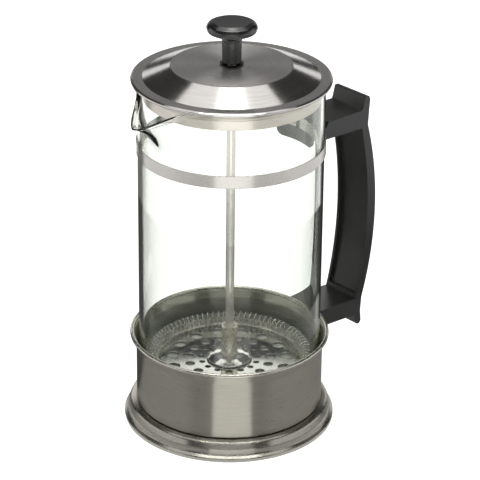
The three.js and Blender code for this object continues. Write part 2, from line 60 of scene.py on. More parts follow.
BODY_OF = {
    node: body
    for body, nodes in frame["record"]["behaviour"]["bodies"].items()
    for node in nodes
}


class Extent:
    """Where a CAD node is at rest, in millimetres."""

    def __init__(self, node):
        low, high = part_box(node)
        self.low = low.z / MM
        self.high = high.z / MM
        self.x_low = low.x / MM
        self.x_high = high.x / MM
        self.half_width = high.y / MM


# ---------------------------------------------------------------- camera and studio

CAMERA_BEARING = math.radians(42.224)   # from -Y towards -X
CAMERA_PITCH = math.radians(25.467)     # looking down
CAMERA_ROLL = -0.010429
CAMERA_PLACE = Vector((-764.8, -850.4, 648.2)) * MM
CAMERA_LENS = 180
SENSOR_WIDTH = 36
CARD_WHITE = (1, 0.99, 0.97)


def studio_point(right, away, up):
    """A point in the row frame from metres to the camera's right, away from it and up."""
    turn = Matrix.Rotation(-CAMERA_BEARING, 3, "Z")
    return turn @ Vector((right, away, up))


def make_camera():
    data = bpy.data.cameras.new("camera")
    data.lens = CAMERA_LENS
    data.sensor_width = SENSOR_WIDTH
    data.clip_start = 0.05
    data.clip_end = 30
    camera = bpy.data.objects.new("camera", data)
    bpy.context.scene.collection.objects.link(camera)
    forward = studio_point(0, math.cos(CAMERA_PITCH), -math.sin(CAMERA_PITCH))
    level = studio_point(1, 0, 0)
    upright = level.cross(forward)
    right = math.cos(CAMERA_ROLL) * level - math.sin(CAMERA_ROLL) * upright
    up = math.sin(CAMERA_ROLL) * level + math.cos(CAMERA_ROLL) * upright
    camera.matrix_world = Matrix.LocRotScale(
        CAMERA_PLACE, Matrix((right, up, -forward)).transposed(), None
    )
    bpy.context.scene.camera = camera


def straight_ray(tree):
    """One for rays that have only passed through glass since the camera, zero after a bounce."""
    path = tree.nodes.new("ShaderNodeLightPath")
    bounces = tree.nodes.new("ShaderNodeMath")
    bounces.operation = "SUBTRACT"
    tree.links.new(path.outputs["Ray Depth"], bounces.inputs[0])
    tree.links.new(path.outputs["Transmission Depth"], bounces.inputs[1])
    straight = tree.nodes.new("ShaderNodeMath")
    straight.operation = "LESS_THAN"
    tree.links.new(bounces.outputs[0], straight.inputs[0])
    straight.inputs[1].default_value = 0.5
    return straight.outputs[0]


def card_surface(name, color, strength):
    """A glow that rays straight from the camera pass by."""
    material = bpy.data.materials.new(name)
    material.use_nodes = True
    tree = material.node_tree
    tree.nodes.clear()
    glow = tree.nodes.new("ShaderNodeEmission")
    glow.inputs["Color"].default_value = (*color, 1)
    glow.inputs["Strength"].default_value = strength
    clear = tree.nodes.new("ShaderNodeBsdfTransparent")
    choose = tree.nodes.new("ShaderNodeMixShader")
    output = tree.nodes.new("ShaderNodeOutputMaterial")
    tree.links.new(straight_ray(tree), choose.inputs["Fac"])
    tree.links.new(glow.outputs["Emission"], choose.inputs[1])
    tree.links.new(clear.outputs["BSDF"], choose.inputs[2])
    tree.links.new(choose.outputs["Shader"], output.inputs["Surface"])
    return material


def make_card(name, corners, strength):
    """A studio card that only shows in reflections. Corners are studio points in order round it."""
    mesh = bpy.data.meshes.new(name)
    mesh.from_pydata([studio_point(*corner) for corner in corners], [], [tuple(range(len(corners)))])
    card = bpy.data.objects.new(name, mesh)
    card.data.materials.append(card_surface(name, CARD_WHITE, strength))
    card.visible_camera = False
    card.visible_diffuse = False
    card.visible_shadow = False
    bpy.context.scene.collection.objects.link(card)


def upright_card(name, left, right, low, high, strength):
    """An upright card between two floor points (right, away) in metres."""
    corners = [(*left, low), (*right, low), (*right, high), (*left, high)]
    make_card(name, corners, strength)


def lying_card(name, outline, height, strength):
    """A level card with the given outline of (right, away) points in metres."""
    make_card(name, [(*point, height) for point in outline], strength)


def make_floor():
    """White paper that glows a little, so that it stays white beside soft contact shadows."""
    half = 4
    mesh = bpy.data.meshes.new("floor")
    corners = [(-half, -half, 0), (half, -half, 0), (half, half, 0), (-half, half, 0)]
    mesh.from_pydata(corners, [], [(0, 1, 2, 3)])
    floor = bpy.data.objects.new("floor", mesh)
    bpy.context.scene.collection.objects.link(floor)
    material = bpy.data.materials.new("floor_paper")
    material.use_nodes = True
    shader = material.node_tree.nodes["Principled BSDF"]
    shader.inputs["Base Color"].default_value = (0.5, 0.5, 0.5, 1)
    shader.inputs["Roughness"].default_value = 0.9
    shader.inputs["Specular IOR Level"].default_value = 0.1
    shader.inputs["Emission Color"].default_value = (1, 1, 1, 1)
    boost = material.node_tree.nodes.new("ShaderNodeMapRange")
    boost.inputs["To Min"].default_value = 0.8
    boost.inputs["To Max"].default_value = 1.15
    material.node_tree.links.new(straight_ray(material.node_tree), boost.inputs["Value"])
    material.node_tree.links.new(boost.outputs["Result"], shader.inputs["Emission Strength"])
    floor.data.materials.append(material)


def make_softbox(name, place, target, width, depth, radiance):
    """A rectangular light at a studio point, turned towards another."""
    data = bpy.data.lights.new(name, "AREA")
    data.shape = "RECTANGLE"
    data.size = width
    data.size_y = depth
    data.energy = radiance * math.pi * width * depth
    light = bpy.data.objects.new(name, data)
    light.location = studio_point(*place)
    direction = studio_point(*target) - light.location
    across = studio_point(1, 0, 0)
    upward = across.cross(direction).normalized()
    light.rotation_euler = Matrix((across, upward, -direction.normalized())).transposed().to_euler()
    light.visible_glossy = False
    light.visible_transmission = False
    bpy.context.scene.collection.objects.link(light)


def make_world():
    """A dim studio room that the camera sees as the white of the paper."""
    world = bpy.data.worlds.new("studio")
    bpy.context.scene.world = world
    world.use_nodes = True
    tree = world.node_tree
    tree.nodes.clear()
    room = tree.nodes.new("ShaderNodeBackground")
    room.inputs["Strength"].default_value = 0.05
    white = tree.nodes.new("ShaderNodeBackground")
    white.inputs["Color"].default_value = (1, 1, 1, 1)
    white.inputs["Strength"].default_value = 1.3
    choose = tree.nodes.new("ShaderNodeMixShader")
    output = tree.nodes.new("ShaderNodeOutputWorld")
    tree.links.new(straight_ray(tree), choose.inputs["Fac"])
    tree.links.new(room.outputs[0], choose.inputs[1])
    tree.links.new(white.outputs[0], choose.inputs[2])
    tree.links.new(choose.outputs[0], output.inputs["Surface"])


def make_studio():
    make_floor()
    make_world()
    make_softbox("overhead_softbox", (-0.03, 0.35, 1.2), (-0.03, 0.35, 0), 0.92, 1.3, 1.3)
    make_softbox("front_softbox", (0.03, -1.05, 1.3), (0.03, 0, 0.2), 0.68, 0.8, 1.6)
    bright = [(-0.23, 1.06), (-0.116, 0.9), (0, 0.855), (0.116, 0.9), (0.207, 1.03), (0.407, 0.528),
              (0.468, 0.42), (0.9, 0.15), (0.9, -0.3), (-0.97, -0.3), (-0.97, 0.15),
              (-0.53, 0.48), (-0.455, 0.597)]
    lying_card("overhead_card", bright, 1.19, 1.25)
    lying_card("overhead_strip", [(-0.12, 0.1), (0.12, 0.1), (0.073, 0.87), (-0.073, 0.87)], 1.18, 4)
    lying_card("overhead_tail", [(-0.073, 0.87), (0.073, 0.87), (0.04, 1.5), (-0.04, 1.5)], 1.18, 1.2)
    lying_card("overhead_lamp", [(-0.4, -0.3), (0.4, -0.3), (0.4, -0.15), (-0.4, -0.15)], 1.17, 10)
    upright_card("back_high", (-0.28, 0.95), (0.28, 0.95), 0.47, 1.1, 0.24)
    upright_card("back_low", (-0.28, 0.95), (0.28, 0.95), 0, 0.47, 0.4)
    upright_card("back_left", (-0.45, 0.95), (-0.28, 0.95), 0, 0.52, 1.2)
    upright_card("back_right", (0.28, 0.95), (0.45, 0.95), 0, 0.52, 1.2)
    upright_card("back_near", (-0.25, 0.3), (0.25, 0.3), 0.02, 0.19, 1.2)
    upright_card("back_shade", (-0.25, 0.3), (0.25, 0.3), 0.192, 0.25, 0.02)
    upright_card("left_wall", (-1, -1), (-1, 0.6), 0.05, 0.6, 1)
    upright_card("right_wall", (1, -1), (1, 0.6), 0.05, 0.6, 1)
    upright_card("front_wall", (-1, -1), (1, -1), 0.75, 1, 0.4)
    upright_card("front_glow", (-0.5, -1), (0.5, -1), 0.42, 0.75, 1.2)
    for name, inner, outer, start, end, strength in (
        ("near", 0.062, 0.17, -197, 60, 0.32), ("side", 0.062, 0.17, -250, -197, 0.06),
        ("mid", 0.17, 0.3, -185, 5, 0.26), ("mid_left", 0.17, 0.3, -262, -185, 0.06),
        ("mid_right", 0.17, 0.3, 5, 82, 0.06), ("far_left", 0.3, 0.9, -265, -214, 0.16),
        ("far_right", 0.3, 0.9, 52, 85, 0.16),
    ):
        ring = arc(0, 0, inner, start, end, 40) + arc(0, 0, outer, end, start, 40)
        lying_card("table_" + name, ring, 0.0008, strength)
    lying_card("table_far", [(-1.2, -1.3), (1.2, -1.3), (1.2, -0.17), (-1.2, -0.17)], 0.0004, 0.85)
    for name, inner, outer, strength in (
        ("near", 0.062, 0.17, 1.25), ("mid", 0.17, 0.3, 0.5), ("far", 0.3, 1.3, 1.7)
    ):
        lying_card("paper_" + name, [
            (0.008 - 0.34 * inner, -inner), (0.5 * inner - 0.011, -inner),
            (0.5 * outer - 0.011, -outer), (0.008 - 0.34 * outer, -outer),
        ], 0.0016, strength)
    bpy.context.scene.view_settings.view_transform = "Standard"


# ---------------------------------------------------------------- materials


class Graph:
    """A material's node tree, with constant values set on its Principled shader."""

    def __init__(self, name, color, roughness, **values):
        self.material = bpy.data.materials.new(name)
        self.material.use_nodes = True
        self.tree = self.material.node_tree
        self.shader = self.tree.nodes["Principled BSDF"]
        self.color = color
        self.shader.inputs["Base Color"].default_value = (*color, 1)
        self.shader.inputs["Roughness"].default_value = roughness
        for socket, value in values.items():
            self.shader.inputs[socket.replace("_", " ")].default_value = value

    def add(self, kind, **settings):
        node = self.tree.nodes.new("ShaderNode" + kind)
        for key, value in settings.items():
            setattr(node, key, value)
        return node

    def link(self, source, target):
        self.tree.links.new(source, target)

    def place(self):
        return self.add("TexCoord").outputs["Object"]

    def vector(self, operation, first, second=None):
        node = self.add("VectorMath", operation=operation)
        self.link(first, node.inputs[0])
        if second is not None:
            node.inputs[1].default_value = second
        return node

    def math(self, operation, first, second):
        node = self.add("Math", operation=operation)
        self.link(first, node.inputs[0])
        if isinstance(second, (int, float)):
            node.inputs[1].default_value = second
        else:
            self.link(second, node.inputs[1])
        return node.outputs[0]

    def noise(self, vector, scale, detail=3.0, roughness=0.55):
        node = self.add("TexNoise")
        self.link(vector, node.inputs["Vector"])
        node.inputs["Scale"].default_value = scale
        node.inputs["Detail"].default_value = detail
        node.inputs["Roughness"].default_value = roughness
        return node.outputs["Fac"]

    def brushing(self, fineness, length):
        """Noise drawn out into rings around Z: fineness lines per metre across, length per turn."""
        place = self.place()
        level = self.vector("MULTIPLY", place, (1, 1, 0)).outputs["Vector"]
        radius = self.vector("LENGTH", level).outputs["Value"]
        heading = self.add("SeparateXYZ")
        self.link(self.vector("NORMALIZE", level).outputs["Vector"], heading.inputs[0])
        height = self.add("SeparateXYZ")
        self.link(place, height.inputs[0])
        joined = self.add("CombineXYZ")
        self.link(self.math("MULTIPLY", radius, fineness), joined.inputs["X"])
        self.link(self.math("MULTIPLY", height.outputs["Z"], fineness), joined.inputs["Y"])
        self.link(self.math("MULTIPLY", heading.outputs["X"], length), joined.inputs["Z"])
        noise = self.add("TexNoise", noise_dimensions="4D")
        self.link(joined.outputs[0], noise.inputs["Vector"])
        self.link(self.math("MULTIPLY", heading.outputs["Y"], length), noise.inputs["W"])
        noise.inputs["Scale"].default_value = 1
        noise.inputs["Detail"].default_value = 4
        noise.inputs["Roughness"].default_value = 0.7
        return noise.outputs["Fac"]

    def spread(self, factor, low, high, from_low=0.3, from_high=0.7):
        node = self.add("MapRange")
        self.link(factor, node.inputs["Value"])
        node.inputs["From Min"].default_value = from_low
        node.inputs["From Max"].default_value = from_high
        node.inputs["To Min"].default_value = low
        node.inputs["To Max"].default_value = high
        return node.outputs["Result"]

    def tint(self, factor, dark, light):
        """Base colour between dark and light times the material's colour."""
        node = self.add("Mix", data_type="RGBA")
        self.link(self.spread(factor, 0, 1), node.inputs["Factor"])
        # the Mix node's colour sockets share their names with its other kinds
        node.inputs[6].default_value = (*(c * dark for c in self.color), 1)
        node.inputs[7].default_value = (*(c * light for c in self.color), 1)
        self.link(node.outputs[2], self.shader.inputs["Base Color"])

    def rough(self, factor, low, high):
        self.link(self.spread(factor, low, high), self.shader.inputs["Roughness"])

    def bump(self, factor, strength, distance, below=None):
        node = self.add("Bump")
        node.inputs["Strength"].default_value = strength
        node.inputs["Distance"].default_value = distance
        self.link(factor, node.inputs["Height"])
        if below is not None:
            self.link(below.outputs["Normal"], node.inputs["Normal"])
        self.link(node.outputs["Normal"], self.shader.inputs["Normal"])
        return node


def brushed_steel(name, color, roughness, anisotropy, fineness=900, length=5, depth=0.00003, core=0):
    """Steel brushed in rings around Z. The highlights draw out across the brushing. It is brushed
    more coarsely within the core radius in metres."""
    graph = Graph(name, color, roughness, Metallic=1, Anisotropic=anisotropy, Anisotropic_Rotation=0.25)
    tangent = graph.add("Tangent", direction_type="RADIAL", axis="Z")
    graph.link(tangent.outputs[0], graph.shader.inputs["Tangent"])
    lines = graph.brushing(fineness, length)
    smudge = graph.noise(graph.place(), 35)
    graph.tint(lines, 0.9, 1.07)
    mixed = graph.math("ADD", graph.math("MULTIPLY", lines, 0.65), graph.math("MULTIPLY", smudge, 0.35))
    rough = graph.spread(mixed, roughness * 0.82, roughness * 1.2)
    if core:
        level = graph.vector("MULTIPLY", graph.place(), (1, 1, 0)).outputs["Vector"]
        radius = graph.vector("LENGTH", level).outputs["Value"]
        rough = graph.math("MULTIPLY", rough, graph.spread(radius, 1.7, 1, core, core + 0.002))
    graph.link(rough, graph.shader.inputs["Roughness"])
    graph.bump(lines, 0.25, depth)
    return graph.material


def polished_steel(name, color, roughness, waviness=0.0002, dishing=0, metal=1):
    """Bright steel with faint handling marks and a little waviness from pressing. Dishing is how
    far the sheet rises from its middle, per metre outward. A lower metal gives a satin sheen."""
    graph = Graph(name, color, roughness, Metallic=metal)
    place = graph.place()
    marks = graph.noise(place, 420, 5)
    waves = graph.noise(place, 60, 2)
    graph.tint(marks, 0.94, 1.03)
    graph.rough(marks, roughness * 0.7, roughness * 1.6)
    coarse = graph.bump(waves, 0.35, waviness)
    if dishing:
        level = graph.vector("MULTIPLY", place, (1, 1, 0)).outputs["Vector"]
        radius = graph.vector("LENGTH", level).outputs["Value"]
        coarse = graph.bump(graph.math("MULTIPLY", radius, dishing), 1, 1, coarse)
    graph.bump(marks, 0.06, 0.00003, coarse)
    return graph.material


def moulded_plastic(name, color, roughness, grain=2600, depth=0.00005, shine=0.5):
    """Black moulding with a fine spark-eroded grain and slightly polished patches."""
    graph = Graph(name, color, roughness, Specular_IOR_Level=shine)
    place = graph.place()
    fine = graph.noise(place, grain, 2)
    wear = graph.noise(place, 55, 4)
    graph.tint(wear, 0.85, 1.18)
    graph.rough(wear, roughness * 0.86, roughness * 1.14)
    graph.bump(fine, 0.55, depth)
    return graph.material


def rubber(name, color):
    graph = Graph(name, color, 0.75, Specular_IOR_Level=0.35)
    place = graph.place()
    dust = graph.noise(place, 130, 5)
    graph.tint(dust, 0.8, 1.25)
    graph.rough(dust, 0.65, 0.9)
    graph.bump(graph.noise(place, 1500, 3), 0.5, 0.00008)
    return graph.material


def woven_steel(name, color):
    """Fine woven wire cloth: rounded wires over and under each other."""
    graph = Graph(name, color, 0.35, Metallic=0.75)
    pitch = 0.55 * MM
    ripples = []
    parts = graph.add("SeparateXYZ")
    graph.link(graph.place(), parts.inputs[0])
    for axis in ("X", "Y"):
        phase = graph.math("MULTIPLY", parts.outputs[axis], 2 * math.pi / pitch)
        ripples.append(graph.math("SINE", phase, 0))
    weave = graph.math("MULTIPLY", *ripples)
    height = graph.spread(weave, 0, 1, -1, 1)
    # the base colour follows the weave's height: painted shade in the hollows between the wires and painted
    # highlight on their crowns
    graph.tint(height, 0.55, 1.15)
    graph.rough(height, 0.4, 0.6)
    graph.bump(height, 0.7, 0.00012)
    return graph.material


def clear_glass(name):
    """Borosilicate glass: clear, faintly green along long paths, with drawn waviness."""
    graph = Graph(name, (1, 1, 1), 0.0, Transmission_Weight=1, IOR=1.47)
    waves = graph.noise(graph.place(), 22, 2)
    graph.bump(waves, 0.08, 0.0006)
    depth = graph.add("VolumeAbsorption")
    depth.inputs["Color"].default_value = (0.6, 0.86, 0.42, 1)
    depth.inputs["Density"].default_value = 30
    output = graph.tree.nodes["Material Output"]
    graph.link(depth.outputs["Volume"], output.inputs["Volume"])
    through = graph.add("BsdfTransparent")
    through.inputs["Color"].default_value = (0.97, 0.98, 0.97, 1)
    choose = graph.add("MixShader")
    path = graph.add("LightPath")
    graph.link(path.outputs["Is Shadow Ray"], choose.inputs["Fac"])
    graph.link(graph.shader.outputs["BSDF"], choose.inputs[1])
    graph.link(through.outputs["BSDF"], choose.inputs[2])
    graph.link(choose.outputs["Shader"], output.inputs["Surface"])
    return graph.material


# ---------------------------------------------------------------- mesh tools


def make_piece(name, verts, faces, material):
    """A smooth-shaded object from points in millimetres, with its faces turned outward."""
    mesh = bpy.data.meshes.new(name)
    mesh.from_pydata([Vector(v) * MM for v in verts], [], faces)
    shell = bmesh.new()
    shell.from_mesh(mesh)
    bmesh.ops.remove_doubles(shell, verts=shell.verts, dist=0.002 * MM)
    bmesh.ops.recalc_face_normals(shell, faces=shell.faces)
    shell.to_mesh(mesh)
    shell.free()
    mesh.shade_smooth()
    mesh.materials.append(material)
    piece = bpy.data.objects.new(name, mesh)
    bpy.context.scene.collection.objects.link(piece)
    return piece


def stand_for(piece, *nodes):
    """The piece replaces these CAD nodes and rides on their body."""
    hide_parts(*nodes)
    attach(piece, BODY_OF[nodes[0]])
    return piece


def softened(corners, steps=6):
    """An outline through corners (x, y) or (x, y, fillet). Each fillet is a curve between two
    supporting points, which keep the flats beside it flat in the shading."""
    points = []
    count = len(corners)
    for i, corner in enumerate(corners):
        here = Vector(corner[:2])
        fillet = corner[2] if len(corner) > 2 else 0
        if not fillet:
            points.append(here)
            continue
        before = Vector(corners[i - 1][:2]) - here
        after = Vector(corners[(i + 1) % count][:2]) - here
        reach = fillet / math.tan(before.angle(after) / 2)
        reach = min(reach, 0.44 * before.length, 0.44 * after.length)
        start = here + before.normalized() * reach
        end = here + after.normalized() * reach
        points.append(start + before.normalized() * min(0.25, 0.05 * before.length))
        for k in range(steps + 1):
            t = k / steps
            points.append(start * (1 - t) ** 2 + here * 2 * t * (1 - t) + end * t**2)
        points.append(end + after.normalized() * min(0.25, 0.05 * after.length))
    return points


def arc(x, y, radius, start, end, steps=16):
    """Points on a circle about (x, y), from one angle to another in degrees."""
    turn = [math.radians(start + (end - start) * k / steps) for k in range(steps + 1)]
    return [(x + radius * math.cos(a), y + radius * math.sin(a)) for a in turn]


def revolved(outline, steps):
    """Points and faces of the solid that a closed outline of (radius, height) makes around Z."""
    verts = []
    rings = []
    for radius, height in outline:
        count = 1 if radius < 1e-6 else steps
        rings.append([len(verts) + k for k in range(count)])
        for k in range(count):
            angle = 2 * math.pi * k / steps
            verts.append((radius * math.cos(angle), radius * math.sin(angle), height))
    faces = []
    for a, b in zip(rings, rings[1:] + rings[:1]):
        if len(a) == 1 and len(b) == 1:
            continue
        for k in range(steps):
            n = (k + 1) % steps
            if len(a) == 1:
                faces.append((a[0], b[n], b[k]))
            elif len(b) == 1:
                faces.append((a[k], a[n], b[0]))
            else:
                faces.append((a[k], a[n], b[n], b[k]))
    return verts, faces


def turned(name, corners, material, *nodes, steps=ROUND):
    """A turned piece about Z from outline corners, in place of CAD nodes."""
    verts, faces = revolved(softened(corners), steps)
    return stand_for(make_piece(name, verts, faces, material), *nodes)


def prism(name, outline, low, high, material, lying=False):
    """A plan outline of (x, y) raised from low to high, or lying, a side outline of (x, z) spread
    from y = low to y = high."""
    count = len(outline)
    verts = []
    for level in (low, high):
        verts += [(x, level, y) if lying else (x, y, level) for x, y in outline]
    faces = [tuple(range(count)), tuple(range(count, 2 * count))]
    for i in range(count):
        n = (i + 1) % count
        faces.append((i, n, n + count, i + count))
    return make_piece(name, verts, faces, material)


def cylinder_along_y(name, x, z, radius, y_low, y_high, material, steps=48):
    outline = arc(x, z, radius, 0, 360 * (steps - 1) / steps, steps - 1)
    return prism(name, outline, y_low, y_high, material, lying=True)


def combine(piece, others, operation):
    """Boolean of piece with each other object, which is then removed."""
    for other in others:
        change = piece.modifiers.new("combine", "BOOLEAN")
        change.operation = operation
        change.solver = "EXACT"
        change.object = other
        settle(piece)
        bpy.data.objects.remove(other)
    return piece


def settle(piece):
    """Applies the piece's modifiers to its mesh."""
    seen = piece.evaluated_get(bpy.context.evaluated_depsgraph_get())
    mesh = bpy.data.meshes.new_from_object(seen)
    piece.modifiers.clear()
    piece.data = mesh
    return piece


def eased(piece, width, segments=3, angle=28):
    """Rounds the piece's sharp edges and shades it smooth between them."""
    bevel = piece.modifiers.new("edges", "BEVEL")
    bevel.width = width * MM
    bevel.segments = segments
    bevel.limit_method = "ANGLE"
    bevel.angle_limit = math.radians(angle)
    bevel.harden_normals = True
    bevel.use_clamp_overlap = True
    settle(piece)
    return piece


def swept(points, radius, sides):
    """Points and faces of a round wire along points in millimetres, with flat ends."""
    path = [Vector(p) for p in points]
    verts = []
    faces = []
    side = Vector((0, 0, 1))
    for i, here in enumerate(path):
        along = path[min(i + 1, len(path) - 1)] - path[max(i - 1, 0)]
        along.normalize()
        side = (side - along * side.dot(along)).normalized()
        across = along.cross(side)
        for k in range(sides):
            angle = 2 * math.pi * k / sides
            verts.append(here + radius * (math.cos(angle) * side + math.sin(angle) * across))
        if i:
            base = (i - 1) * sides
            for k in range(sides):
                n = (k + 1) % sides
                faces.append((base + k, base + n, base + n + sides, base + k + sides))
    last = (len(path) - 1) * sides
    faces.append(tuple(range(sides)))
    faces.append(tuple(range(last, last + sides)))
    return verts, faces


def perforated(name, radius, holes, low, high, edge, material):
    """A flat round sheet with round holes (x, y, radius), its edges rounded by edge."""
    curve = bpy.data.curves.new(name, "CURVE")
    curve.dimensions = "2D"
    curve.fill_mode = "BOTH"
    curve.extrude = ((high - low) / 2 - edge) * MM
    curve.bevel_depth = edge * MM
    curve.bevel_resolution = 2
    curve.offset = -edge * MM
    for x, y, size in [(0, 0, radius)] + holes:
        steps = ROUND if size == radius else 40
        spline = curve.splines.new("POLY")
        spline.use_cyclic_u = True
        spline.points.add(steps - 1)
        for k, point in enumerate(spline.points):
            angle = 2 * math.pi * k / steps
            across = x + size * math.cos(angle)
            along = y + size * math.sin(angle)
            point.co = (across * MM, along * MM, 0, 1)
    shape = bpy.data.objects.new(name + "_outline", curve)
    bpy.context.scene.collection.objects.link(shape)
    seen = shape.evaluated_get(bpy.context.evaluated_depsgraph_get())
    sheet = bpy.data.meshes.new_from_object(seen)
    middle = (low + high) / 2
    verts = [Vector(v.co) / MM + Vector((0, 0, middle)) for v in sheet.vertices]
    faces = [tuple(p.vertices) for p in sheet.polygons]
    bpy.data.objects.remove(shape)
    piece = make_piece(name, verts, faces, material)
    for face in piece.data.polygons:
        face.use_smooth = abs(face.normal.z) < 0.99
    return piece


# ---------------------------------------------------------------- base


def build_base():
    pad_rubber = rubber("pad_rubber", (0.035, 0.035, 0.034))
    foot_steel = brushed_steel("foot_steel", (0.44, 0.425, 0.38), 0.27, 0.85)
    cup_steel = brushed_steel("cup_steel", (0.46, 0.443, 0.39), 0.3, 0.93)
    rim_steel = polished_steel("rim_steel", (0.6, 0.58, 0.53), 0.2, 0.00003)
    silicone = rubber("cushion_silicone", (0.06, 0.06, 0.058))

    pad = Extent("base_pad")
    rib = 0.5
    ribs = []
    for start in (38, 41, 44):
        ribs += [(start, pad.low, 0.2), (start + 1.6, pad.low, 0.2)]
        ribs += [(start + 1.9, pad.low + rib, 0.2), (start + 2.7, pad.low + rib, 0.2)]
    turned("rubber_foot_pad", [
        (0, pad.low + rib),
        (37.6, pad.low + rib, 0.2),
        *ribs,
        (pad.half_width - 2, pad.low, 0.2),
        (pad.half_width, pad.low, 0.7),
        (pad.half_width, pad.high, 0.5),
        (pad.half_width - 3, pad.high, 0.5),
        (pad.half_width - 3, 2.5, 0.6),
        (0, 2.5),
    ], pad_rubber, "base_pad")

    foot = Extent("foot_ring")
    edge = foot.half_width
    turned("spun_foot_ring", [
        (44.2, foot.high - 0.1),
        (50.6, foot.high, 1.2),
        (53.2, foot.high - 0.6, 2.2),
        (edge - 2.1, 7.2, 2.6),
        (edge - 2, 4.3, 1.6),
        (edge, 2.9, 0.7),
        (edge, foot.low + 0.35, 0.5),
        (edge - 1.1, foot.low + 0.1, 0.4),
        (edge - 2.2, 3.2, 1),
        (edge - 3.2, 7.6, 2),
        (51.5, foot.high - 1.3, 1.5),
        (44.2, foot.high - 1.1),
    ], foot_steel, "foot_ring")

    cup = Extent("base_cup")
    wall = 50
    tube = 1.13
    bead = (cup.half_width - tube, cup.high - tube)
    turned("rolled_rim", arc(*bead, tube, 0, 345, 23), rim_steel, "base_cup")
    steel_cup = turned("steel_cup", [
        (0, cup.low),
        (wall, cup.low, 1.2),
        (wall, 44.5, 5),
        (wall + 1.3, 48.9, 1),
        (wall + 2, 49.9, 0.3),
        (wall + 1.4, 50.1, 0.3),
        (wall + 0.6, 49.0, 0.8),
        (wall - 0.7, 44.7, 5),
        (wall - 0.7, cup.low + 0.8, 0.9),
        (0, cup.low + 0.8),
    ], cup_steel, "base_cup")
    # the inside gets a darker copy of the cup steel: painted shade for the shaded inside of the cup
    steel_cup.data.materials.append(
        brushed_steel("cup_inside_painted_shade_steel", (0.3, 0.29, 0.262), 0.3, 0.93))
    for face in steel_cup.data.polygons:
        if face.center.xy.length < (wall - 0.35) * MM:
            face.material_index = 1

    cushion = Extent("glass_cushion")
    turned("silicone_cushion", [
        (0, cushion.low),
        (cushion.half_width, cushion.low, 0.8),
        (cushion.half_width - 0.6, cushion.high, 0.6),
        (36, cushion.high, 0.3),
        (35.4, cushion.high - 0.6, 0.3),
        (34, cushion.high - 0.6, 0.3),
        (33.4, cushion.high, 0.3),
        (0, cushion.high),
    ], silicone, "glass_cushion")


# ---------------------------------------------------------------- glass beaker

SPOUT_START = 165
SPOUT_REACH = 17.8
SPOUT_DROP = 10.5
SPOUT_HALF_WIDTH = 0.24


def poured(verts, top):
    """Pulls the glass near the rim outward and down around -X, which makes the spout."""
    moved = []
    for x, y, z in verts:
        radius = math.hypot(x, y)
        angle = math.atan2(y, -x)
        rise = max(0, (z - SPOUT_START) / (top - SPOUT_START)) ** 1.7
        pull = rise * math.exp(-((abs(angle) / SPOUT_HALF_WIDTH) ** 1.5))
        grown = radius + SPOUT_REACH * pull
        moved.append((-grown * math.cos(angle), grown * math.sin(angle), z - SPOUT_DROP * pull))
    return moved


def build_beaker():
    glass = clear_glass("beaker_glass")
    box = Extent("beaker")
    outer = 48.5
    inner = outer - 2.2
    floor = box.low + 2.8
    bead = 1.45
    heights = [SPOUT_START + k * (box.high - 3.2 - SPOUT_START) / 20 for k in range(21)]
    outline = [
        Vector((0, box.low + 0.6)),
        Vector((20, box.low + 0.3)),
        *(Vector(p) for p in arc(outer - 8, box.low + 8, 8, -90, 0, 12)),
        *(Vector((outer, 30 + 15 * k)) for k in range(9)),
        *(Vector((outer, z)) for z in heights),
        *(Vector(p) for p in arc(outer - 0.85, box.high - bead, bead, -40, 200, 20)),
        *(Vector((inner, z)) for z in reversed(heights)),
        *(Vector((inner, 150 - 15 * k)) for k in range(9)),
        *(Vector(p) for p in arc(inner - 6, floor + 6, 6, 0, -90, 10)),
        Vector((20, floor - 0.2)),
        Vector((0, floor)),
    ]
    verts, faces = revolved(outline, GREAT_ROUND)
    piece = make_piece("glass_beaker", poured(verts, box.high), faces, glass)
    stand_for(piece, "beaker")


# ---------------------------------------------------------------- clamp band


